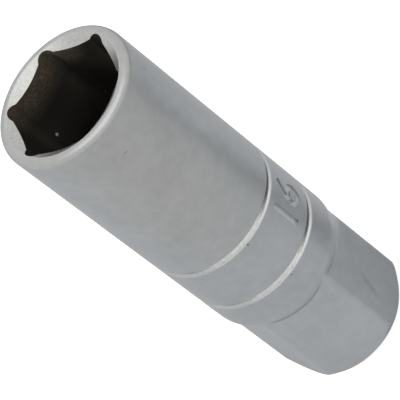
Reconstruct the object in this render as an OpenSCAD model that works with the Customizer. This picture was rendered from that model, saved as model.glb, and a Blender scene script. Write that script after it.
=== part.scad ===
// Spark plug socket: a one-piece steel body with a rubber grip for the plug inside.
// It stands on its drive end, mouth up. The origin is the centre of the drive end's face.

/* [Shank] */
// Overall length, from the drive end to the mouth
overall_len = 68; // [64:0.5:90]
// Diameter of the round shank
shank_d = 21.8; // [21:0.1:26]
// Radius on the outer edge of the mouth
mouth_edge_r = 1; // [0.2:0.1:1.1]
// Width of the rim between the outside and the lead-in cone
rim_w = 1.4; // [1.2:0.1:2]
// Radius that blends the rim into the lead-in cone
rim_blend_r = 0.7; // [0.2:0.1:0.8]

/* [Marking grooves] */
// Height of the lower marking groove above the drive end
groove_z = 25.9; // [22:0.1:30]
// Distance from the lower marking groove to the upper one
groove_pitch = 9.9; // [4:0.1:14]
// Width of a marking groove at the surface
groove_w = 1.2; // [0.8:0.1:1.8]
// Depth of a marking groove
groove_depth = 0.45; // [0.2:0.05:0.8]
// Lean of a marking groove's walls
groove_lean = 25; // [0:5:35]
// Radius along both edges of a marking groove's floor
groove_floor_r = 0.25; // [0.1:0.05:0.3]

/* [Wrench hexagon] */
// Wrench hexagon, across flats
wrench_af = 19; // [17:0.5:20]
// Radius on the corners of the wrench hexagon
wrench_corner_r = 1.5; // [0.5:0.1:2.5]
// Height of the edge where the shank's shoulder starts to slope
shoulder_z = 19.1; // [14:0.1:21]
// Length of the sloped shoulder, down to the middle of a flat
shoulder_len = 1.7; // [0.8:0.1:2.5]
// Radius on the edge of the shoulder
shoulder_edge_r = 2.5; // [0.2:0.1:3]
// Length of the bevel round the drive end, at the hexagon's corners
end_bevel_len = 3; // [2.5:0.1:4]
// Width of the bevel round the drive end, at the hexagon's corners
end_bevel_w = 2; // [1.5:0.1:2.4]
// Radius that blends the bevel into the end face and the corners
end_blend_r = 3; // [1:0.1:3.5]

/* [Plug hexagon] */
// Spark plug hexagon, across flats
plug_af = 16; // [14:0.5:16.5]
// Clearance of the plug hexagon, across flats
plug_clearance = 0.2; // [0.1:0.05:0.4]
// Depth of the plug hexagon below the mouth
plug_hex_depth = 20; // [14:1:22]
// Radius of the round relief in each corner of the plug hexagon
relief_r = 1.5; // [0.8:0.05:1.8]
// How far a relief reaches past the corner of the hexagon
relief_reach = 0.05; // [0:0.05:0.25]
// Depth of the lead-in cone, down to the middle of a flat
lead_in_depth = 1; // [0.5:0.05:1.5]

/* [Chamber] */
// Diameter of the chamber below the plug hexagon
chamber_d = 15.4; // [14.4:0.1:16]
// Diameter of the terminal chamber below the grip
terminal_d = 12.4; // [11:0.2:13]
// Length of the terminal chamber
terminal_len = 12; // [8:0.5:13]
// Thickness of the web between the terminal chamber and the square drive
web_t = 3; // [2:0.5:4]
// Diameter of the hole through the web
web_hole_d = 7; // [5:0.5:9]

/* [Square drive] */
// Square drive, across flats
drive_af = 9.6; // [9.55:0.05:9.7]
// Depth of the square drive
drive_depth = 11; // [9:0.5:12]
// Diameter of the countersink at the drive end
countersink_d = 12; // [11:0.5:13.5]
// Angle of the countersink's wall to the axis
countersink_angle = 45; // [30:5:60]
// Height of the ball groove above the drive end
ball_groove_z = 5.5; // [5:0.25:6.5]
// Radius of the ball groove's section
ball_groove_r = 2; // [1.5:0.1:2.5]
// Depth of the ball groove in the middle of a drive wall
ball_groove_depth = 0.6; // [0.3:0.1:1]

/* [Plug grip] */
// Bore of the grip, which holds the plug's insulator
grip_bore_d = 10; // [9:0.1:11]
// Length of the grip
grip_len = 20; // [14:0.5:21]
// Lead-in at the upper end of the grip's bore
grip_lead_in = 1.2; // [0.5:0.1:1.8]
// Radius on the outer edges of the grip
grip_edge_r = 0.5; // [0.2:0.1:0.8]
// Radius of the bead round the grip
bead_r = 0.9; // [0.6:0.1:1.2]
// How far the bead stands out of the grip
bead_height = 0.6; // [0.3:0.1:0.8]
// Clearance between the grip and the chamber
grip_clearance = 0.05; // [0.02:0.01:0.15]
// Clearance between the bead and its groove
bead_clearance = 0.1; // [0.05:0.05:0.2]

/* [Hidden] */
$fn = 96;
// How far a cut runs past the face that it opens, or into the next cut
over = 1;
// How far an arc reaches past the lines that it joins, so that no sliver is left between them
seam = 0.0002;
shank_r = shank_d / 2;
groove_floor_w = groove_w - 2 * groove_depth * tan(groove_lean);
groove_mouth_w = groove_w + 2 * over * tan(groove_lean);
plug_flat_r = (plug_af + plug_clearance) / 2;
plug_corner_r = plug_flat_r / cos(30);
plug_floor_z = overall_len - plug_hex_depth;
lead_in_r = shank_r - rim_w;
lead_in_slope = lead_in_depth / (lead_in_r - plug_flat_r);
wrench_flat_r = wrench_af / 2;
wrench_corner_reach = wrench_flat_r / cos(30);
wrench_top_z = shoulder_z + over;
shoulder_slope = shoulder_len / (shank_r - wrench_flat_r);
shoulder_foot_r = wrench_flat_r - over;
shoulder_foot_z = shoulder_z - shoulder_slope * (shank_r - shoulder_foot_r);
web_top_z = drive_depth + web_t;
grip_seat_z = web_top_z + terminal_len;
grip_top_z = grip_seat_z + grip_len;
grip_r = chamber_d / 2 - grip_clearance;
grip_bore_r = grip_bore_d / 2;
bead_centre = [grip_r + bead_height - bead_r, grip_seat_z + grip_len / 2];
ball_groove_centre = [drive_af / 2 + ball_groove_depth - ball_groove_r, ball_groove_z];

function unit(v) = v / norm(v);

// Corners of a hexagon with the given distance from its centre to a corner
function hexagon(corner_r, turn) = [for (i = [0:5]) corner_r * [cos(60 * i + turn), sin(60 * i + turn)]];

// Convex polygon with a radius on each corner
module rounded_polygon(points, radii) {
    count = len(points);
    before = [for (i = [0:count - 1]) unit(points[(i + count - 1) % count] - points[i])];
    after = [for (i = [0:count - 1]) unit(points[(i + 1) % count] - points[i])];
    half = [for (i = [0:count - 1]) acos(before[i] * after[i]) / 2];
    polygon([
        for (i = [0:count - 1])
            for (way = radii[i] > 0 ? [before[i], after[i]] : [[0, 0]])
                points[i] + way * radii[i] / tan(half[i])
    ]);
    for (i = [0:count - 1])
        if (radii[i] > 0)
            translate(points[i] + unit(before[i] + after[i]) * radii[i] / sin(half[i]))
                circle(radii[i] + seam);
}

// Round shank, from its sloped shoulder up to the rim and the lead-in cone, with the two marking grooves
module shank() {
    rotate_extrude()
        difference() {
            rounded_polygon(
                [
                    [0, shoulder_foot_z],
                    [shoulder_foot_r, shoulder_foot_z],
                    [shank_r, shoulder_z],
                    [shank_r, overall_len],
                    [lead_in_r, overall_len],
                    [0, overall_len - lead_in_slope * lead_in_r]
                ],
                [0, 0, shoulder_edge_r, mouth_edge_r, rim_blend_r, 0]
            );
            for (z = [groove_z, groove_z + groove_pitch])
                rounded_polygon(
                    [
                        [shank_r - groove_depth, z - groove_floor_w / 2],
                        [shank_r + over, z - groove_mouth_w / 2],
                        [shank_r + over, z + groove_mouth_w / 2],
                        [shank_r - groove_depth, z + groove_floor_w / 2]
                    ],
                    [groove_floor_r, 0, 0, groove_floor_r]
                );
        }
}

// Wrench hexagon, its corners on the X axis, with a turned bevel round the drive end
module wrench_hexagon() {
    intersection() {
        linear_extrude(wrench_top_z)
            rounded_polygon(hexagon(wrench_corner_reach, 0), [for (i = [0:5]) wrench_corner_r]);
        rotate_extrude()
            rounded_polygon(
                [
                    [0, 0],
                    [wrench_corner_reach - end_bevel_w, 0],
                    [wrench_corner_reach, end_bevel_len],
                    [wrench_corner_reach, wrench_top_z],
                    [0, wrench_top_z]
                ],
                [0, end_blend_r, end_blend_r, 0, 0]
            );
    }
}

// Relieved hexagon for the plug, its flats facing the X axis, cut down through the lead-in cone
module plug_hexagon() {
    translate([0, 0, plug_floor_z])
        linear_extrude(plug_hex_depth + over) {
            polygon(hexagon(plug_corner_r, 30));
            for (corner = hexagon(plug_corner_r + relief_reach - relief_r, 30))
                translate(corner)
                    circle(relief_r);
        }
}

// Bores below the plug hexagon: the grip's chamber with its bead groove, the terminal chamber and the web's hole
module chamber() {
    translate([0, 0, grip_seat_z])
        cylinder(h = plug_floor_z + over - grip_seat_z, d = chamber_d);
    rotate_extrude()
        translate(bead_centre)
            circle(bead_r + bead_clearance);
    translate([0, 0, web_top_z])
        cylinder(h = terminal_len + over, d = terminal_d);
    translate([0, 0, drive_depth - over])
        cylinder(h = web_t + 2 * over, d = web_hole_d);
}

// Square drive, its walls facing the X and Y axes, with a countersink and a groove for the driver's ball
module square_drive() {
    countersink_r = countersink_d / 2;
    countersink_depth = countersink_r / tan(countersink_angle);
    translate([-drive_af / 2, -drive_af / 2, -over])
        cube([drive_af, drive_af, drive_depth + over]);
    translate([0, 0, -over])
        cylinder(
            h = countersink_depth + over,
            r1 = countersink_r * (1 + over / countersink_depth),
            r2 = 0
        );
    rotate_extrude()
        translate(ball_groove_centre)
            circle(ball_groove_r);
}

module socket_body() {
    color("#9b9fa2")
        difference() {
            union() {
                shank();
                wrench_hexagon();
            }
            plug_hexagon();
            chamber();
            square_drive();
        }
}

// Rubber sleeve that stands on the ledge below the chamber, its bead in the chamber's groove
module plug_grip() {
    color("#1d1c1b")
        rotate_extrude()
            union() {
                rounded_polygon(
                    [
                        [grip_bore_r, grip_seat_z],
                        [grip_r, grip_seat_z],
                        [grip_r, grip_top_z],
                        [grip_bore_r + grip_lead_in, grip_top_z],
                        [grip_bore_r, grip_top_z - grip_lead_in]
                    ],
                    [0, grip_edge_r, grip_edge_r, 0, 0]
                );
                translate(bead_centre)
                    circle(bead_r);
            }
}

socket_body();
plug_grip();
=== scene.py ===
"""Spark plug socket, dressed for its photograph: a satin chromed body round a rubber plug grip."""

import math
from collections import namedtuple

import bpy
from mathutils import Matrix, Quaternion, Vector


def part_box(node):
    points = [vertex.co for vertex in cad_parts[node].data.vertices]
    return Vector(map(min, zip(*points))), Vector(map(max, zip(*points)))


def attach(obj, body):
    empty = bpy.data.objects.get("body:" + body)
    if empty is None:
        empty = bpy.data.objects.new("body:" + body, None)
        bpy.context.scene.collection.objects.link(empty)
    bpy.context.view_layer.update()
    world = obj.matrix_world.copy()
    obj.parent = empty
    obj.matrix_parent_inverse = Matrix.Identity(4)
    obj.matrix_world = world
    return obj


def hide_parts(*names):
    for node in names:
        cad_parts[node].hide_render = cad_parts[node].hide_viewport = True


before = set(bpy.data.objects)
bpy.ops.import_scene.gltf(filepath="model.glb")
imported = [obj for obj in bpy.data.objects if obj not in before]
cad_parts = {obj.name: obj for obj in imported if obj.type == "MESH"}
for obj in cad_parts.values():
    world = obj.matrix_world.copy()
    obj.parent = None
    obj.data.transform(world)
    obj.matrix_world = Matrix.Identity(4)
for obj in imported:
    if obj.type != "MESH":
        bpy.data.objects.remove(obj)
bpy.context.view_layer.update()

MM = 0.001
_, body_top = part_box("socket_body")
grip_low, grip_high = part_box("plug_grip")

# Sizes of the body, in metres, as its solid has them
LENGTH = body_top.z
SHANK_R = body_top.x
MOUTH_EDGE_R = 1 * MM
RIM_W = 1.4 * MM
RIM_BLEND_R = 0.7 * MM
LEAD_IN_DEPTH = 1 * MM
GROOVE_Z = 25.9 * MM
GROOVE_PITCH = 9.9 * MM
GROOVE_W = 1.2 * MM
GROOVE_DEPTH = 0.45 * MM
GROOVE_LEAN = math.radians(25)
GROOVE_FLOOR_R = 0.25 * MM
WRENCH_FLAT_R = 9.5 * MM
WRENCH_CORNER_R = 1.5 * MM
SHOULDER_Z = 19.1 * MM
SHOULDER_LEN = 1.7 * MM
END_BEVEL_LEN = 3 * MM
END_BEVEL_W = 2 * MM
END_BLEND_R = 3 * MM
PLUG_FLAT_R = 8.1 * MM
PLUG_HEX_DEPTH = 20 * MM
RELIEF_R = 1.5 * MM
RELIEF_REACH = 0.05 * MM
CHAMBER_R = 7.7 * MM
TERMINAL_R = 6.2 * MM
TERMINAL_LEN = 12 * MM
WEB_T = 3 * MM
WEB_HOLE_R = 3.5 * MM
DRIVE_AF = 9.6 * MM
DRIVE_DEPTH = 11 * MM
COUNTERSINK_R = 6 * MM
BALL_GROOVE_Z = 5.5 * MM
BALL_GROOVE_R = 2 * MM
BALL_GROOVE_DEPTH = 0.6 * MM
BEAD_GROOVE_R = 1 * MM
# How far the middle of the bead groove's section lies inside the chamber's wall
BEAD_GROOVE_IN = 0.35 * MM

# Edges that are softer here than on the solid
GROOVE_EDGE_R = 0.12 * MM
SHOULDER_EDGE_R = 5 * MM

# Places worked out from those sizes
PLUG_FLOOR_Z = LENGTH - PLUG_HEX_DEPTH
WEB_TOP_Z = DRIVE_DEPTH + WEB_T
GRIP_SEAT_Z = WEB_TOP_Z + TERMINAL_LEN
BEAD_Z = (grip_low.z + grip_high.z) / 2
HEX_SIDES = 6
SIXTH = 2 * math.pi / HEX_SIDES
# How far a cut runs past the face that it opens, or into the next cut
OVER = 1 * MM

# The engraved size: its digits with the angle of each one round the axis
SIZE_DIGITS = (("1", math.radians(-40)), ("6", math.radians(-21)))
DIGIT_HEIGHT = 6 * MM
DIGIT_DEPTH = 0.35 * MM
# How far a digit's strokes are spread to either side
DIGIT_SPREAD = 0.07 * MM
# Share of the font's size that a digit takes up in height
DIGIT_SHARE = 0.73

# How finely round things are turned
TURNS = 192
CORNER_STEPS = 10
RELIEF_TURNS = 48
# Points nearer than this are merged
MERGE_GAP = 0.001 * MM
# Edges that turn by less are shaded smooth, and the larger faces lead there
SMOOTH_ANGLE = math.radians(42)
LARGE_FACE_LEAD = 100

# Heights between which the chrome's finish, and the light and shade painted on it, change
CUTS_FROM_Z = GROOVE_Z - 3 * MM
SHOULDER_LIGHT_FROM_Z = SHOULDER_Z - 2.5 * MM
SHOULDER_LIGHT_FULL_Z = SHOULDER_Z - 0.6 * MM
SHOULDER_LIGHT_END_Z = SHOULDER_Z + 2 * MM
WARM_LIGHT_FROM_Z = 30 * MM
WARM_LIGHT_FULL_Z = 50 * MM
MOUTH_FROM_Z = LENGTH - 4 * MM
MOUTH_FULL_Z = LENGTH - 3 * MM
RIM_FROM_Z = LENGTH - 1.5 * MM
RIM_FULL_Z = LENGTH - 0.5 * MM
# Depth below the shank's surface from which a place counts as cut
CUT_SKIN = 0.1 * MM
# Heights, from the middle of a groove, between which its lower wall ends
WALL_END_LOW = -0.47 * MM
WALL_END_HIGH = -0.37 * MM
# Distances from the middle of a groove between which the zone of the digits starts
DIGITS_FROM = 1.5 * GROOVE_W
DIGITS_FULL = 2 * GROOVE_W

# Sides with painted light or shade: the angle that each one faces, and the cosines at which it starts and is
# full
Side = namedtuple("Side", "angle start full")
WARM_LIGHT_SIDE = Side(math.radians(-80), 0.6, 1)
FLOOR_HIGHLIGHT_SIDE = Side(math.radians(-66), 0.45, 0.95)
WALL_HIGHLIGHT_SIDE = Side(math.radians(-38), 0.75, 0.97)
GROOVE_SHADE_SIDE = Side(math.radians(-15), 0.7, 0.9)
SHOULDER_LIGHT_SIDE = Side(math.radians(-10), 0.7, 0.93)

# Painted highlight lines in a groove: height from its middle, half widths of core and all, and strength
HighlightLine = namedtuple("HighlightLine", "height core reach strength")
HIGHLIGHT_LINES = (
    HighlightLine(-0.15 * MM, 0.12 * MM, 0.32 * MM, 1),
    HighlightLine(-0.68 * MM, 0.1 * MM, 0.25 * MM, 0.7),
)

# Dark marks on the chrome, with angles in degrees: place, way the surface faces, tilt, half sizes, strength
Mark = namedtuple("Mark", "radius angle height facing tilt half_length half_width strength")
CHROME_MARKS = (
    Mark(SHANK_R, -76, 35 * MM, -76, 20, 0.22 * MM, 0.2 * MM, 0.75),
    Mark(SHANK_R, -73.8, 25.1 * MM, -74, 40, 0.2 * MM, 0.14 * MM, 0.6),
    Mark(SHANK_R, -77.5, 62.3 * MM, -77, 67, 0.6 * MM, 0.13 * MM, 0.35),
    Mark(SHANK_R, -14, 64.2 * MM, -14, 15, 0.8 * MM, 0.15 * MM, 0.3),
    Mark(9.6 * MM, -37.5, 8.6 * MM, -30, -18, 3.4 * MM, 0.7 * MM, 0.14),
)
MARK_DEPTH = 0.3 * MM
# Share of a spot's reach that has its full strength
SPOT_CORE = 0.4

# Sizes of the patterns in the chrome
GRAIN_SIZE = 0.15 * MM
CUT_GRAIN_SIZE = 0.4 * MM
MOTTLE_SIZE = 1.5 * MM
CLOUD_SIZE = 9 * MM
# Middle value of any pattern
PATTERN_MIDDLE = 0.5

# Tone of the chrome, and what the patterns and zones change in it: painted light lifts the flats and the band
# at the shoulder, and painted shade darkens the rim
CHROME_TONE = 0.415
GRAIN_TONE = 0.07
MOTTLE_TONE = 0.1
CLOUD_TONE = 0.09
FLATS_PAINTED_LIGHT = 0.037
SHOULDER_PAINTED_LIGHT = 0.2
RIM_PAINTED_SHADE = 0.01
CUT_TONE = 0.455
CUT_GRAIN_TONE = 0.2

# Green and blue of the chrome as shares of its red, and what they lose under the painted warm light on the
# front and on the rim
COOL_GREEN = 1.045
COOL_BLUE = 1.085
WARM_GREEN_LOSS = 0.03
WARM_BLUE_LOSS = 0.085
CUT_BLUE = 0.967
EDGE_TINT = (0.88, 0.88, 0.88, 1)

# Over the chrome in the cuts: brighter metal and painted highlights, painted shade, and how much of each
# shows
BRIGHT_METAL_AND_HIGHLIGHT = (0.84, 0.845, 0.81, 1)
WALL_HIGHLIGHT_SHARE = 0.5
BRIGHT_DIGIT_SHARE = 0.42
GROOVE_SHADE_COLOUR = (0.08, 0.08, 0.078, 1)
GROOVE_SHADE_SHARE = 0.85

# Roughness of the chrome, and what the patterns and zones change in it
CHROME_ROUGHNESS = 0.33
PATTERN_ROUGHNESS = 0.1
FLATS_ROUGHNESS = 0.22
BRIGHT_POLISH = 0.2

# Depth of the steel's relief, and the patterns' shares in it
STEEL_RELIEF = 0.1 * MM
GRAIN_RELIEF = 0.02
MOTTLE_RELIEF = 0.05
CLOUD_RELIEF = 0.25
CUT_GRAIN_RELIEF = 0.5
STAIN_RELIEF = 0.1

# Oxide inside: its patterns, its tone at the mouth and the painted light that depth and corners add, tint and
# gloss
SPECKLE_SIZE = 0.3 * MM
PATCH_SIZE = 2.5 * MM
OXIDE_TONE = 0.013
DEEP_PAINTED_LIGHT = 0.02
DEEP_FROM_Z = LENGTH - 2 * MM
DEEP_FULL_Z = LENGTH - 12 * MM
CORNER_PAINTED_LIGHT = 0.022
OXIDE_GREEN = 0.92
OXIDE_BLUE = 0.77
OXIDE_ROUGHNESS = 0.45
SPECKLE_ROUGHNESS = 0.3
OXIDE_GLOSS = 0.12

# Rust at the mouth: its colour, the middle and the reach of its patch, and how much of it shows
RUST = (0.165, 0.128, 0.094, 1)
RUST_CENTRE = (-3.8 * MM, 7.4 * MM, LENGTH)
RUST_REACH = (10 * MM, 7 * MM, 6.2 * MM)
RUST_GRAINS_FROM = 0.37
RUST_GRAINS_FULL = 0.8
RUST_GRAIN_SHARE = 2
RUST_FILM_SHARE = 0.3

# Painted glints in the oxide, as bright specks: place and half width, and how much longer than wide they are
Glint = namedtuple("Glint", "x y z half_width")
OXIDE_GLINTS = (
    Glint(-6.57 * MM, 5.53 * MM, 58.6 * MM, 0.27 * MM),
    Glint(1.6 * MM, 8.4 * MM, 56.3 * MM, 0.12 * MM),
    Glint(1 * MM, 8.73 * MM, 59.5 * MM, 0.1 * MM),
)
GLINT_STRETCH = 1.4
GLINT_COLOUR = (0.65, 0.66, 0.62, 1)

# Rubber: the size and depth of its tooth, its tone and roughness, and what the tooth adds to them
TOOTH_SIZE = 0.2 * MM
TOOTH_DEPTH = 0.03 * MM
RUBBER_TONE = 0.016
TOOTH_TONE = 0.012
RUBBER_ROUGHNESS = 0.65
TOOTH_ROUGHNESS = 0.2

# The floor's width, colour and glow to the camera, and the world's light
FLOOR_W = 4
FLOOR_COLOUR = (0.85, 0.85, 0.85, 1)
FLOOR_GLOW = 0.7
WHITE = (1, 1, 1, 1)
AMBIENT = 0.31

# The camera of the photograph: its place, its aim near the axis and its roll, and its lens in millimetres
CAMERA_AZIMUTH = math.radians(-73)
CAMERA_REACH = 309.1 * MM
CAMERA_HEIGHT = 314.23 * MM
CAMERA_AIM = (0.86 * MM, 0.27 * MM, 38.29 * MM)
CAMERA_ROLL = math.radians(51.99)
CAMERA_NEAR = 10 * MM
CAMERA_LENS = 269.6
CAMERA_SENSOR = 36
CAMERA_SHIFT_X = 0.0043
CAMERA_SHIFT_Y = -0.0188


def around(radius, angle, height):
    """A place round the axis."""
    return (radius * math.cos(angle), radius * math.sin(angle), height)


def clear_selection():
    """Leave edit mode and deselect everything, so that an operator acts on the new piece alone."""
    if bpy.context.object and bpy.context.object.mode != "OBJECT":
        bpy.ops.object.mode_set(mode="OBJECT")
    bpy.ops.object.select_all(action="DESELECT")


def pick(piece):
    """Make a piece the only one that an operator acts on."""
    clear_selection()
    bpy.context.view_layer.objects.active = piece
    piece.select_set(True)


def soften(outline):
    """An outline of (radius, height, corner radius) rows as (radius, height) points, corners as arcs."""
    points = []
    for index, (r, z, corner) in enumerate(outline):
        if corner == 0:
            points.append((r, z))
            continue
        before = outline[index - 1]
        after = outline[index + 1]
        inward = math.atan2(z - before[1], r - before[0])
        outward = math.atan2(after[1] - z, after[0] - r)
        turn = (outward - inward + math.pi) % (2 * math.pi) - math.pi
        reach = corner * math.tan(abs(turn) / 2)
        start_r = r - reach * math.cos(inward)
        start_z = z - reach * math.sin(inward)
        side = math.copysign(1, turn)
        centre_r = start_r - side * corner * math.sin(inward)
        centre_z = start_z + side * corner * math.cos(inward)
        for step in range(CORNER_STEPS + 1):
            heading = inward + turn * step / CORNER_STEPS
            points.append((
                centre_r + side * corner * math.sin(heading),
                centre_z - side * corner * math.cos(heading),
            ))
    return points


def turned(name, outline):
    """A turned solid: a point is extruded along the softened outline, and the line is spun round the axis."""
    points = soften(outline)
    clear_selection()
    bpy.ops.mesh.primitive_plane_add(size=MM)
    piece = bpy.context.object
    piece.name = name
    bpy.ops.object.mode_set(mode="EDIT")
    bpy.ops.mesh.select_all(action="SELECT")
    bpy.ops.mesh.merge(type="CENTER")
    bpy.ops.transform.translate(value=(points[0][0], 0, points[0][1]))
    for (r0, z0), (r1, z1) in zip(points, points[1:]):
        bpy.ops.mesh.extrude_vertices_move(TRANSFORM_OT_translate={"value": (r1 - r0, 0, z1 - z0)})
    bpy.ops.mesh.select_all(action="SELECT")
    bpy.ops.mesh.spin(steps=TURNS, angle=2 * math.pi, center=(0, 0, 0), axis=(0, 0, 1))
    close_skin()
    return piece


def close_skin():
    """Merge the seam and the poles, turn every face outwards and leave edit mode."""
    bpy.ops.mesh.select_all(action="SELECT")
    bpy.ops.mesh.remove_doubles(threshold=MERGE_GAP)
    bpy.ops.mesh.normals_make_consistent(inside=False)
    bpy.ops.object.mode_set(mode="OBJECT")


def hexagon_bar(name, flat_r, bottom, top, corner_r=0, turn=0):
    """A hexagon bar along Z, with the given radius on its corners."""
    corner_reach = flat_r / math.cos(SIXTH / 2)
    clear_selection()
    bpy.ops.mesh.primitive_circle_add(
        vertices=HEX_SIDES, radius=corner_reach, fill_type="NGON", location=(0, 0, bottom)
    )
    piece = bpy.context.object
    piece.name = name
    bpy.ops.object.transform_apply(location=True)
    bpy.ops.object.mode_set(mode="EDIT")
    bpy.ops.mesh.select_all(action="SELECT")
    bpy.ops.transform.rotate(value=turn, orient_axis="Z", center_override=(0, 0, 0))
    if corner_r:
        bpy.ops.mesh.bevel(
            offset_type="ABSOLUTE",
            offset=corner_r * math.tan(SIXTH / 2),
            segments=CORNER_STEPS,
            affect="VERTICES",
        )
    bpy.ops.mesh.extrude_region_move(TRANSFORM_OT_translate={"value": (0, 0, top - bottom)})
    close_skin()
    return piece


def combine(piece, tool, operation):
    """Join, cut or trim a piece by another one, which is used up. A cut face takes the tool's finish."""
    change = piece.modifiers.new("shape", "BOOLEAN")
    change.operation = operation
    change.solver = "EXACT"
    change.material_mode = "TRANSFER"
    change.object = tool
    pick(piece)
    bpy.ops.object.modifier_apply(modifier=change.name)
    bpy.data.objects.remove(tool)


def shank():
    """The round shank with its sloped shoulder, its two marking grooves, the rim and the lead-in cone."""
    slope = SHOULDER_LEN / (SHANK_R - WRENCH_FLAT_R)
    foot_r = WRENCH_FLAT_R - OVER
    foot_z = SHOULDER_Z - slope * (SHANK_R - foot_r)
    outline = [(0, foot_z, 0), (foot_r, foot_z, 0), (SHANK_R, SHOULDER_Z, SHOULDER_EDGE_R)]
    floor_r = SHANK_R - GROOVE_DEPTH
    floor_w = GROOVE_W - 2 * GROOVE_DEPTH * math.tan(GROOVE_LEAN)
    for z in (GROOVE_Z, GROOVE_Z + GROOVE_PITCH):
        outline += [
            (SHANK_R, z - GROOVE_W / 2, GROOVE_EDGE_R),
            (floor_r, z - floor_w / 2, GROOVE_FLOOR_R),
            (floor_r, z + floor_w / 2, GROOVE_FLOOR_R),
            (SHANK_R, z + GROOVE_W / 2, GROOVE_EDGE_R),
        ]
    lead_in_r = SHANK_R - RIM_W
    lead_in_slope = LEAD_IN_DEPTH / (lead_in_r - PLUG_FLAT_R)
    outline += [
        (SHANK_R, LENGTH, MOUTH_EDGE_R),
        (lead_in_r, LENGTH, RIM_BLEND_R),
        (0, LENGTH - lead_in_slope * lead_in_r, 0),
    ]
    return turned("shank", outline)


def wrench_end():
    """The wrench hexagon, trimmed by the turned bevel round the drive end."""
    corner_reach = WRENCH_FLAT_R / math.cos(SIXTH / 2)
    bevel = turned("end_bevel", [
        (0, 0, 0),
        (corner_reach - END_BEVEL_W, 0, END_BLEND_R),
        (corner_reach, END_BEVEL_LEN, END_BLEND_R),
        (corner_reach, LENGTH / 2, 0),
        (0, LENGTH / 2, 0),
    ])
    bar = hexagon_bar("wrench_end", WRENCH_FLAT_R, -OVER, SHOULDER_Z + OVER, WRENCH_CORNER_R, SIXTH / 2)
    combine(bar, bevel, "INTERSECT")
    return bar


def corner_reliefs():
    """Round bars that relieve the corners of the plug hexagon, as one piece."""
    reach = PLUG_FLAT_R / math.cos(SIXTH / 2) + RELIEF_REACH - RELIEF_R
    middle_z = LENGTH + (OVER - PLUG_HEX_DEPTH) / 2
    bars = []
    for corner in range(HEX_SIDES):
        clear_selection()
        bpy.ops.mesh.primitive_cylinder_add(
            vertices=RELIEF_TURNS,
            radius=RELIEF_R,
            depth=PLUG_HEX_DEPTH + OVER,
            location=around(reach, SIXTH * corner + SIXTH / 2, middle_z),
        )
        bars.append(bpy.context.object)
    for bar in bars:
        bar.select_set(True)
    bpy.ops.object.join()
    bpy.ops.object.transform_apply()
    return bpy.context.object


def chamber():
    """The bores below the plug hexagon: the grip's chamber, the terminal chamber and the web's hole."""
    bead_half_w = math.sqrt(BEAD_GROOVE_R ** 2 - BEAD_GROOVE_IN ** 2)
    bead_corner_r = CHAMBER_R - BEAD_GROOVE_IN + BEAD_GROOVE_R ** 2 / BEAD_GROOVE_IN
    return turned("chamber", [
        (0, DRIVE_DEPTH - OVER, 0),
        (WEB_HOLE_R, DRIVE_DEPTH - OVER, 0),
        (WEB_HOLE_R, WEB_TOP_Z, 0),
        (TERMINAL_R, WEB_TOP_Z, 0),
        (TERMINAL_R, GRIP_SEAT_Z, 0),
        (CHAMBER_R, GRIP_SEAT_Z, 0),
        (CHAMBER_R, BEAD_Z - bead_half_w, 0),
        (bead_corner_r, BEAD_Z, BEAD_GROOVE_R),
        (CHAMBER_R, BEAD_Z + bead_half_w, 0),
        (CHAMBER_R, PLUG_FLOOR_Z + OVER, 0),
        (0, PLUG_FLOOR_Z + OVER, 0),
    ])


def drive_square():
    """The bar that leaves the square drive."""
    clear_selection()
    bpy.ops.mesh.primitive_cube_add(size=1, location=(0, 0, (DRIVE_DEPTH - OVER) / 2))
    bar = bpy.context.object
    bpy.ops.transform.resize(value=(DRIVE_AF, DRIVE_AF, DRIVE_DEPTH + OVER))
    bpy.ops.object.transform_apply()
    return bar


def drive_entry():
    """The countersink and the groove for the driver's ball, as one turned cutter."""
    core_r = COUNTERSINK_R / 2
    groove_r = DRIVE_AF / 2 + BALL_GROOVE_DEPTH
    groove_low = BALL_GROOVE_Z - BALL_GROOVE_R
    groove_high = BALL_GROOVE_Z + BALL_GROOVE_R
    return turned("drive_entry", [
        (0, -OVER, 0),
        (COUNTERSINK_R + OVER, -OVER, 0),
        (core_r, COUNTERSINK_R - core_r, 0),
        (core_r, groove_low, 0),
        (groove_r, groove_low, BALL_GROOVE_R),
        (groove_r, groove_high, BALL_GROOVE_R),
        (core_r, groove_high, 0),
        (0, groove_high, 0),
    ])


def digit(shape, angle):
    """One digit that cuts into the shank between the marking grooves, upright towards the mouth."""
    clear_selection()
    bpy.ops.object.text_add()
    letter = bpy.context.object
    letter.data.body = shape
    letter.data.size = DIGIT_HEIGHT / DIGIT_SHARE
    letter.data.align_x = "CENTER"
    letter.data.align_y = "CENTER"
    letter.data.extrude = DIGIT_DEPTH
    letter.data.offset = DIGIT_SPREAD
    letter.data.resolution_u = CORNER_STEPS
    letter.rotation_euler = (math.pi / 2, 0, angle + math.pi / 2)
    letter.location = around(SHANK_R, angle, GROOVE_Z + GROOVE_PITCH / 2)
    bpy.ops.object.convert(target="MESH")
    bpy.ops.object.transform_apply()
    return bpy.context.object


def give(piece, material):
    """Give a piece one finish."""
    piece.data.materials.clear()
    piece.data.materials.append(material)
    return piece


def socket_body(chrome, oxide):
    """The whole steel body: the shank and the wrench end joined, then every hollow cut out of it."""
    body = give(shank(), chrome)
    combine(body, give(wrench_end(), chrome), "UNION")
    plug_hexagon = hexagon_bar("plug_hexagon", PLUG_FLAT_R, PLUG_FLOOR_Z, LENGTH + OVER)
    for hollow in (plug_hexagon, corner_reliefs(), chamber(), drive_square()):
        combine(body, give(hollow, oxide), "DIFFERENCE")
    combine(body, give(drive_entry(), chrome), "DIFFERENCE")
    for shape, angle in SIZE_DIGITS:
        combine(body, give(digit(shape, angle), chrome), "DIFFERENCE")
    body.name = "chromed_body"
    pick(body)
    bpy.ops.object.shade_smooth_by_angle(angle=SMOOTH_ANGLE)
    weigh = body.modifiers.new("weigh", "WEIGHTED_NORMAL")
    weigh.keep_sharp = True
    weigh.weight = LARGE_FACE_LEAD
    bpy.ops.object.modifier_apply(modifier=weigh.name)
    return body


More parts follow.
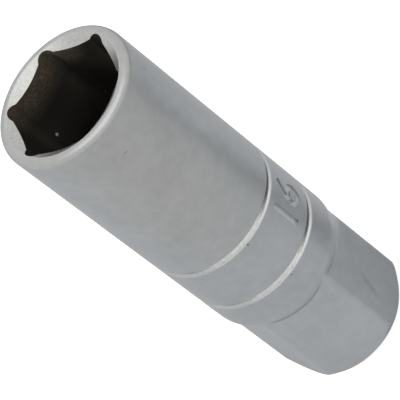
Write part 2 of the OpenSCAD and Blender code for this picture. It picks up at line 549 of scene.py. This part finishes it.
class Wire:
    """A socket in a node tree, so that shader maths reads as plain expressions."""

    def __init__(self, tree, socket=None):
        self.tree = tree
        self.socket = socket

    def node(self, kind, settings=None, output=0, **inputs):
        """Add a node of any kind: its settings first, then the values or wires of its inputs.

        An input goes by its name, with an underscore for a space, or by the letter i and its number.
        """
        made = self.tree.nodes.new(kind)
        for name, value in (settings or {}).items():
            setattr(made, name, value)
        for name, value in inputs.items():
            numbered = name[0] == "i" and name[1:].isdigit()
            key = int(name[1:]) if numbered else name.replace("_", " ")
            if isinstance(value, Wire):
                self.tree.links.new(value.socket, made.inputs[key])
            else:
                made.inputs[key].default_value = value
        return Wire(self.tree, made.outputs[output])

    def math(self, operation, first, second=0.0):
        """Add a Math node."""
        return self.node("ShaderNodeMath", {"operation": operation}, i0=first, i1=second)

    def __abs__(self):
        return self.math("ABSOLUTE", self)

    def __add__(self, other):
        return self.math("ADD", self, other)

    def __radd__(self, other):
        return self.math("ADD", other, self)

    def __sub__(self, other):
        return self.math("SUBTRACT", self, other)

    def __rsub__(self, other):
        return self.math("SUBTRACT", other, self)

    def __mul__(self, other):
        return self.math("MULTIPLY", self, other)

    def __rmul__(self, other):
        return self.math("MULTIPLY", other, self)

    def __mod__(self, other):
        return self.math("FLOORED_MODULO", self, other)

    def __rmod__(self, other):
        return self.math("FLOORED_MODULO", other, self)


def finish(name):
    """A new material, its shader node and the place on the piece in metres."""
    material = bpy.data.materials.new(name)
    material.use_nodes = True
    tree = material.node_tree
    place = Wire(tree).node("ShaderNodeTexCoord", output="Object")
    return material, tree.nodes["Principled BSDF"], place


def plug_into(shader, name, wire):
    """Feed one input of a shader."""
    wire.tree.links.new(wire.socket, shader.inputs[name])


def larger(one, other):
    """The larger of two values."""
    return one.math("MAXIMUM", one, other)


def ramp(value, low, high):
    """0 below low, 1 above high and even in between. With low above high it falls instead."""
    return value.node("ShaderNodeMapRange", Value=value, From_Min=low, From_Max=high)


def noise(place, size, detail, roughness=0.5):
    """Noise with features of about the given size."""
    return place.node("ShaderNodeTexNoise", Vector=place, Scale=1 / size, Detail=detail, Roughness=roughness)


def swing(pattern, amount):
    """A pattern's swing to both sides of its middle."""
    return (pattern - PATTERN_MIDDLE) * amount


def height_of(place):
    """The height above the drive end, in metres."""
    return place.node("ShaderNodeSeparateXYZ", output="Z", Vector=place)


def from_axis(place):
    """The distance from the axis, in metres."""
    level = place.node("ShaderNodeVectorMath", {"operation": "MULTIPLY"}, i0=place, i1=(1, 1, 0))
    return level.node("ShaderNodeVectorMath", {"operation": "LENGTH"}, output="Value", i0=level)


def on_side(place, side):
    """1 on one side of the shank, falling to 0 round it."""
    towards = around(1 / SHANK_R, side.angle, 0)
    facing = place.node(
        "ShaderNodeVectorMath", {"operation": "DOT_PRODUCT"}, output="Value", i0=place, i1=towards
    )
    return ramp(facing, side.start, side.full)


def spot(place, centre, reach, turn=(0, 0, 0)):
    """1 in the middle of a spot, a stretched ball on the surface, and 0 outside it."""
    local = place.node(
        "ShaderNodeMapping",
        {"vector_type": "TEXTURE"},
        Vector=place,
        Location=centre,
        Rotation=turn,
        Scale=reach,
    )
    away = local.node("ShaderNodeVectorMath", {"operation": "LENGTH"}, output="Value", Vector=local)
    return ramp(away, 1, SPOT_CORE)


def tinted(tone, green, blue):
    """A colour with the tone as its red, and with green and blue as shares of it."""
    return tone.node("ShaderNodeCombineColor", Red=tone, Green=tone * green, Blue=tone * blue)


def cover(share, under, over):
    """One colour over another, by its share. A Mix node has its colours on inputs 6 and 7 and output 2."""
    return share.node("ShaderNodeMix", {"data_type": "RGBA"}, output=2, i0=share, i6=under, i7=over)


def give_relief(shader, relief, strength, depth):
    """Raise and sink the surface by a pattern."""
    bump = relief.node("ShaderNodeBump", Height=relief, Strength=strength, Distance=depth)
    plug_into(shader, "Normal", bump)


def groove_offset(height):
    """The height from the middle of the nearest marking groove, as if they went on along the shank."""
    return (height - GROOVE_Z + GROOVE_PITCH / 2) % GROOVE_PITCH - GROOVE_PITCH / 2


def highlight_lines(offset):
    """The painted highlight lines in a groove."""
    lines = 0
    for line in HIGHLIGHT_LINES:
        lines = ramp(abs(offset - line.height), line.reach, line.core) * line.strength + lines
    return lines


def chrome_stains(place):
    """The dark marks on the chrome."""
    stains = 0
    for mark in CHROME_MARKS:
        centre = around(mark.radius, math.radians(mark.angle), mark.height)
        reach = (MARK_DEPTH, mark.half_width, mark.half_length)
        turn = (math.radians(mark.tilt), 0, math.radians(mark.facing))
        stains = spot(place, centre, reach, turn) * mark.strength + stains
    return stains


def chrome_finish():
    """Satin chrome plate: cool grey metal, grained and mottled, brighter in the cuts, with a few marks and
    with painted light and shade.
    """
    material, shader, place = finish("satin_chrome")
    radius = from_axis(place)
    height = height_of(place)
    grain = noise(place, GRAIN_SIZE, detail=2)
    cut_grain = noise(place, CUT_GRAIN_SIZE, detail=2)
    mottle = noise(place, MOTTLE_SIZE, detail=3)
    cloud = noise(place, CLOUD_SIZE, detail=2)
    stains = chrome_stains(place)

    # Zones of the outside
    flats = ramp(height, SHOULDER_Z, SHOULDER_Z - SHOULDER_LEN)
    # Painted highlight: a lighter band on one side round the shoulder
    shoulder_light = ramp(height, SHOULDER_LIGHT_FROM_Z, SHOULDER_LIGHT_FULL_Z) * ramp(height, SHOULDER_LIGHT_END_Z, SHOULDER_Z)
    shoulder_light = shoulder_light * on_side(place, SHOULDER_LIGHT_SIDE)
    mouth = ramp(height, MOUTH_FROM_Z, MOUTH_FULL_Z)
    rim = ramp(height, RIM_FROM_Z, RIM_FULL_Z)
    # Painted warm light on the front of the upper shank; the rim is warm too
    front = on_side(place, WARM_LIGHT_SIDE) * ramp(height, WARM_LIGHT_FROM_Z, WARM_LIGHT_FULL_Z)
    warm_light_and_rim = larger(front, rim)

    # Cuts: the lead-in cone, the grooves with their painted highlight lines and painted shade, and the digits
    cut_zone = ramp(height, CUTS_FROM_Z, CUTS_FROM_Z + GROOVE_W)
    offset = groove_offset(height)
    distance = abs(offset)
    lead_in = ramp(radius, SHANK_R - MOUTH_EDGE_R, SHANK_R - RIM_W) * mouth
    groove = ramp(radius, SHANK_R - CUT_SKIN, SHANK_R - GROOVE_DEPTH) * cut_zone
    groove = groove * ramp(distance, GROOVE_W, GROOVE_W / 2)
    above_wall = ramp(offset, WALL_END_LOW, WALL_END_HIGH)
    # Painted highlights on the grooves' floor and lower wall, on one side
    floor_highlights = on_side(place, FLOOR_HIGHLIGHT_SIDE) * highlight_lines(offset)
    wall_highlight = on_side(place, WALL_HIGHLIGHT_SIDE) * (1 - above_wall) * WALL_HIGHLIGHT_SHARE
    painted_highlights = groove * (floor_highlights + wall_highlight)
    # Painted shade in the grooves, on one side
    groove_shade = groove * on_side(place, GROOVE_SHADE_SIDE) * above_wall
    digits = ramp(radius, SHANK_R - CUT_SKIN, SHANK_R - DIGIT_DEPTH) * cut_zone
    digits = digits * ramp(distance, DIGITS_FROM, DIGITS_FULL) * (1 - mouth)

    # Colour, from the satin plate up to the painted shade in the grooves
    tone = swing(mottle, MOTTLE_TONE) + swing(cloud, CLOUD_TONE) + swing(grain, GRAIN_TONE)
    # Painted light lifts the flats and the band at the shoulder
    tone = tone + flats * FLATS_PAINTED_LIGHT + shoulder_light * SHOULDER_PAINTED_LIGHT + CHROME_TONE
    # Painted shade darkens the rim a little
    tone = tone * (1 - stains) * (1 - rim * RIM_PAINTED_SHADE)
    satin = tinted(tone, COOL_GREEN - warm_light_and_rim * WARM_GREEN_LOSS, COOL_BLUE - warm_light_and_rim * WARM_BLUE_LOSS)
    cut_tone = swing(cut_grain, CUT_GRAIN_TONE) + swing(grain, CUT_GRAIN_TONE) + CUT_TONE
    machined = cover(lead_in + groove, satin, tinted(cut_tone, 1, CUT_BLUE))
    bright_and_highlighted = cover(painted_highlights + digits * BRIGHT_DIGIT_SHARE, machined, BRIGHT_METAL_AND_HIGHLIGHT)
    plug_into(shader, "Base Color", cover(groove_shade * GROOVE_SHADE_SHARE, bright_and_highlighted, GROOVE_SHADE_COLOUR))
    shader.inputs["Metallic"].default_value = 1
    shader.inputs["Specular Tint"].default_value = EDGE_TINT

    roughness = swing(grain, PATTERN_ROUGHNESS) + swing(mottle, PATTERN_ROUGHNESS) + CHROME_ROUGHNESS
    plug_into(shader, "Roughness", roughness + flats * FLATS_ROUGHNESS - painted_highlights * BRIGHT_POLISH)
    relief = grain * GRAIN_RELIEF + mottle * MOTTLE_RELIEF + cloud * CLOUD_RELIEF
    relief = relief + cut_grain * groove * CUT_GRAIN_RELIEF - stains * STAIN_RELIEF
    give_relief(shader, relief, strength=1, depth=STEEL_RELIEF)
    return material


def painted_glints(place):
    """The painted glints in the oxide, as bright specks."""
    glints = 0
    for glint in OXIDE_GLINTS:
        reach = (glint.half_width, glint.half_width, GLINT_STRETCH * glint.half_width)
        glints = spot(place, (glint.x, glint.y, glint.z), reach) + glints
    return glints


def oxide_finish():
    """The inside, which the plating hardly reaches: rough brown-black oxide, with rust, painted light and
    painted glints.
    """
    material, shader, place = finish("dark_oxide")
    speckle = noise(place, SPECKLE_SIZE, detail=4, roughness=0.65)
    patch = noise(place, PATCH_SIZE, detail=3)
    deep = ramp(height_of(place), DEEP_FROM_Z, DEEP_FULL_Z)
    corner = ramp(from_axis(place), PLUG_FLAT_R, PLUG_FLAT_R + RELIEF_R)
    # Painted light: the oxide is lighter deeper in and in the reliefs' corners, against their shade
    oxide_and_painted_light = tinted(deep * DEEP_PAINTED_LIGHT + corner * CORNER_PAINTED_LIGHT + OXIDE_TONE, OXIDE_GREEN, OXIDE_BLUE)
    grains = ramp(speckle, RUST_GRAINS_FROM, RUST_GRAINS_FULL) * patch
    rust = (grains * RUST_GRAIN_SHARE + RUST_FILM_SHARE) * spot(place, RUST_CENTRE, RUST_REACH)
    rusty = cover(rust, oxide_and_painted_light, RUST)
    # Painted glints, as bright specks
    plug_into(shader, "Base Color", cover(painted_glints(place), rusty, GLINT_COLOUR))
    plug_into(shader, "Roughness", speckle * SPECKLE_ROUGHNESS + OXIDE_ROUGHNESS)
    shader.inputs["Metallic"].default_value = 0
    shader.inputs["Specular IOR Level"].default_value = OXIDE_GLOSS
    give_relief(shader, speckle, strength=0.6, depth=STEEL_RELIEF)
    return material


def rubber_finish():
    """Matte black rubber with a fine tooth."""
    material, shader, place = finish("black_rubber")
    tooth = noise(place, TOOTH_SIZE, detail=3)
    plug_into(shader, "Base Color", tinted(tooth * TOOTH_TONE + RUBBER_TONE, 1, 1))
    plug_into(shader, "Roughness", tooth * TOOTH_ROUGHNESS + RUBBER_ROUGHNESS)
    give_relief(shader, tooth, strength=0.3, depth=TOOTH_DEPTH)
    return material


def pale_floor():
    """A wide pale floor, white to the camera, that keeps the object's shadow."""
    clear_selection()
    bpy.ops.mesh.primitive_plane_add(size=FLOOR_W)
    floor = bpy.context.object
    floor.name = "floor"
    material = bpy.data.materials.new("pale_floor")
    material.use_nodes = True
    tree = material.node_tree
    tree.nodes.remove(tree.nodes["Principled BSDF"])
    start = Wire(tree)
    seen = start.node("ShaderNodeLightPath", output="Is Camera Ray")
    diffuse = start.node("ShaderNodeBsdfDiffuse", Color=FLOOR_COLOUR)
    glow = start.node("ShaderNodeEmission", Strength=seen * FLOOR_GLOW)
    both = start.node("ShaderNodeAddShader", i0=diffuse, i1=glow)
    plug_into(tree.nodes["Material Output"], "Surface", both)
    give(floor, material)


def white_world():
    """White to the camera and in reflections, and a plain soft light for the rest."""
    world = bpy.data.worlds.new("white_world")
    bpy.context.scene.world = world
    world.use_nodes = True
    background = world.node_tree.nodes["Background"]
    start = Wire(world.node_tree)
    seen = start.node("ShaderNodeLightPath", output="Is Camera Ray")
    mirrored = start.node("ShaderNodeLightPath", output="Is Glossy Ray")
    through = start.node("ShaderNodeLightPath", output="Is Transmission Ray")
    shown = larger(larger(seen, mirrored), through)
    background.inputs["Color"].default_value = WHITE
    plug_into(background, "Strength", shown * (1 - AMBIENT) + AMBIENT)


def softbox(name, azimuth, elevation, distance, size, power, mirrored):
    """A square area lamp that looks at the middle of the object, and shows in its metal or not."""
    lamp = bpy.data.lights.new(name, "AREA")
    lamp.size = size
    lamp.energy = power
    holder = bpy.data.objects.new(name, lamp)
    bpy.context.scene.collection.objects.link(holder)
    height = LENGTH / 2 + distance * math.sin(elevation)
    holder.location = around(distance * math.cos(elevation), azimuth, height)
    holder.rotation_euler = (math.pi / 2 - elevation, 0, azimuth + math.pi / 2)
    holder.visible_glossy = mirrored


def soft_lights():
    """A broad lamp overhead, and two smaller ones from the left and from the front."""
    softbox(
        "overhead",
        azimuth=math.radians(-26),
        elevation=math.radians(84),
        distance=0.55,
        size=0.6,
        power=0.7,
        mirrored=True,
    )
    softbox(
        "left",
        azimuth=math.radians(181),
        elevation=math.radians(30),
        distance=1,
        size=0.3,
        power=6.8,
        mirrored=False,
    )
    softbox(
        "front",
        azimuth=math.radians(-50),
        elevation=math.radians(35),
        distance=1,
        size=0.25,
        power=1.9,
        mirrored=False,
    )


def photo_camera():
    """The camera of the photograph, turned to its aim and then rolled."""
    camera = bpy.data.cameras.new("photo_camera")
    camera.sensor_width = CAMERA_SENSOR
    camera.lens = CAMERA_LENS
    camera.shift_x = CAMERA_SHIFT_X
    camera.shift_y = CAMERA_SHIFT_Y
    camera.clip_start = CAMERA_NEAR
    holder = bpy.data.objects.new("photo_camera", camera)
    bpy.context.scene.collection.objects.link(holder)
    holder.location = around(CAMERA_REACH, CAMERA_AZIMUTH, CAMERA_HEIGHT)
    level = (Vector(CAMERA_AIM) - holder.location).to_track_quat("-Z", "Y")
    holder.rotation_mode = "QUATERNION"
    holder.rotation_quaternion = level @ Quaternion((0, 0, 1), -CAMERA_ROLL)
    bpy.context.scene.camera = holder


bpy.context.scene.view_settings.view_transform = "Standard"

body = socket_body(chrome_finish(), oxide_finish())
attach(body, "root")
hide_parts("socket_body")
give(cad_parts["plug_grip"], rubber_finish())

pale_floor()
white_world()
soft_lights()
photo_camera()
